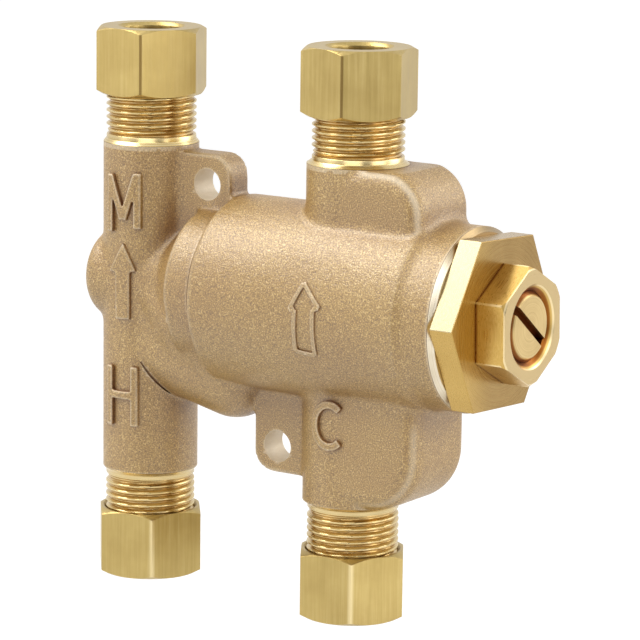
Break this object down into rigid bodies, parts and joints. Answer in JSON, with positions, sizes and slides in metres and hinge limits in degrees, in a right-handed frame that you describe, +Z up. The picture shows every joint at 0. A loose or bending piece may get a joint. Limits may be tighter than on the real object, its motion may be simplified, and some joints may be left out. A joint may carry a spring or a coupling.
{
  "type": "point-of-use mixing valve",
  "caption": "Cast bronze point-of-use mixing valve: tube columns with compression nuts, a cross barrel, fixing lugs, and a hexagon bonnet with a locked, slotted temperature stem.",
  "frame": {"origin": "centre of the upper lug hole, halfway through the lug", "axes": "+X along the barrel towards the bonnet, +Z up towards the outlets, the front with the marks faces -Y"},
  "size_m": [0.0799, 0.03, 0.0892],
  "materials": {
    "cast_bronze": "sand cast",
    "brass": "satin machined",
    "copper": "drawn",
    "steel": "bright",
    "rubber": "matt",
    "plastic": "moulded"
  },
  "bodies": {
    "valve": {"valve_body": "cast_bronze", "bonnet": "brass", "bonnet_oring": "rubber", "return_spring": "steel", "hot_check_body": "plastic", "hot_check_oring": "rubber", "hot_check_guide": "plastic", "hot_check_spring": "steel", "hot_strainer": "steel", "cold_check_body": "plastic", "cold_check_oring": "rubber", "cold_check_guide": "plastic", "cold_check_spring": "steel", "cold_strainer": "steel"},
    "spring_unit": {"overtravel_cup": "brass", "overtravel_clip": "steel", "overtravel_spring": "steel"},
    "stem": {"adjusting_stem": "brass", "stem_oring": "rubber"},
    "locknut": {"lock_nut": "brass"},
    "plunger": {"overtravel_plunger": "brass", "element_piston": "steel"},
    "metering": {"shuttle": "plastic", "shuttle_oring": "rubber", "element_cup": "copper", "element_guide": "brass"},
    "hot_poppet": {"hot_check_poppet": "plastic", "hot_check_seal": "rubber"},
    "cold_poppet": {"cold_check_poppet": "plastic", "cold_check_seal": "rubber"},
    "mixed_outlet_olive": {"mixed_outlet_ferrule": "brass"},
    "mixed_outlet_nut_body": {"mixed_outlet_nut": "brass"},
    "hot_inlet_olive": {"hot_inlet_ferrule": "brass"},
    "hot_inlet_nut_body": {"hot_inlet_nut": "brass"},
    "cold_outlet_olive": {"cold_outlet_ferrule": "brass"},
    "cold_outlet_nut_body": {"cold_outlet_nut": "brass"},
    "cold_inlet_olive": {"cold_inlet_ferrule": "brass"},
    "cold_inlet_nut_body": {"cold_inlet_nut": "brass"}
  },
  "joints": [
    {"name": "stem_travel", "type": "slide", "parent": "valve", "child": "spring_unit", "axis": [1, 0, 0], "range_m": [-0.00106, 0.00106], "deforming": ["return_spring"]},
    {"name": "stem_turn", "type": "hinge", "parent": "spring_unit", "child": "stem", "pos_m": [0.05, 0, -0.01625], "axis": [1, 0, 0], "range_deg": [-360, 360]},
    {"name": "overtravel", "type": "slide", "parent": "spring_unit", "child": "plunger", "axis": [1, 0, 0], "range_m": [0, 0.002], "stiffness_N_per_m": 1000, "springref_m": -0.003, "deforming": ["overtravel_spring"]},
    {"name": "element_travel", "type": "slide", "parent": "spring_unit", "child": "metering", "axis": [-1, 0, 0], "range_m": [-0.0008, 0.0008], "stiffness_N_per_m": 1000, "deforming": ["return_spring"]},
    {"name": "lock_nut_turn", "type": "hinge", "parent": "valve", "child": "locknut", "pos_m": [0.055, 0, -0.01625], "axis": [1, 0, 0], "range_deg": [0, 360]},
    {"name": "hot_check_open", "type": "slide", "parent": "valve", "child": "hot_poppet", "axis": [0, 0, 1], "range_m": [0, 0.002], "stiffness_N_per_m": 50, "springref_m": -0.002, "deforming": ["hot_check_spring"]},
    {"name": "cold_check_open", "type": "slide", "parent": "valve", "child": "cold_poppet", "axis": [0, 0, 1], "range_m": [0, 0.002], "stiffness_N_per_m": 50, "springref_m": -0.002, "deforming": ["cold_check_spring"]},
    {"name": "mixed_outlet_nut_travel", "type": "slide", "parent": "valve", "child": "mixed_outlet_olive", "axis": [0, 0, 1], "range_m": [0, 0.00317]},
    {"name": "mixed_outlet_nut_turn", "type": "hinge", "parent": "mixed_outlet_olive", "child": "mixed_outlet_nut_body", "pos_m": [-0.01275, 0, 0.01775], "axis": [0, 0, 1], "range_deg": [0, 1080]},
    {"name": "hot_inlet_nut_travel", "type": "slide", "parent": "valve", "child": "hot_inlet_olive", "axis": [0, 0, -1], "range_m": [0, 0.00317]},
    {"name": "hot_inlet_nut_turn", "type": "hinge", "parent": "hot_inlet_olive", "child": "hot_inlet_nut_body", "pos_m": [-0.01275, 0, -0.05815], "axis": [0, 0, -1], "range_deg": [0, 1080]},
    {"name": "cold_outlet_nut_travel", "type": "slide", "parent": "valve", "child": "cold_outlet_olive", "axis": [0, 0, 1], "range_m": [0, 0.00317]},
    {"name": "cold_outlet_nut_turn", "type": "hinge", "parent": "cold_outlet_olive", "child": "cold_outlet_nut_body", "pos_m": [0.0265, 0, 0.01735], "axis": [0, 0, 1], "range_deg": [0, 1080]},
    {"name": "cold_inlet_nut_travel", "type": "slide", "parent": "valve", "child": "cold_inlet_olive", "axis": [0, 0, -1], "range_m": [0, 0.00317]},
    {"name": "cold_inlet_nut_turn", "type": "hinge", "parent": "cold_inlet_olive", "child": "cold_inlet_nut_body", "pos_m": [0.0265, 0, -0.05925], "axis": [0, 0, -1], "range_deg": [0, 1080]}
  ],
  "couplings": [
    {"joint": "stem_travel", "follows": "stem_turn", "m_per_rad": 0.0001684},
    {"joint": "mixed_outlet_nut_travel", "follows": "mixed_outlet_nut_turn", "m_per_rad": 0.0001684},
    {"joint": "hot_inlet_nut_travel", "follows": "hot_inlet_nut_turn", "m_per_rad": 0.0001684},
    {"joint": "cold_outlet_nut_travel", "follows": "cold_outlet_nut_turn", "m_per_rad": 0.0001684},
    {"joint": "cold_inlet_nut_travel", "follows": "cold_inlet_nut_turn", "m_per_rad": 0.0001684}
  ]
}
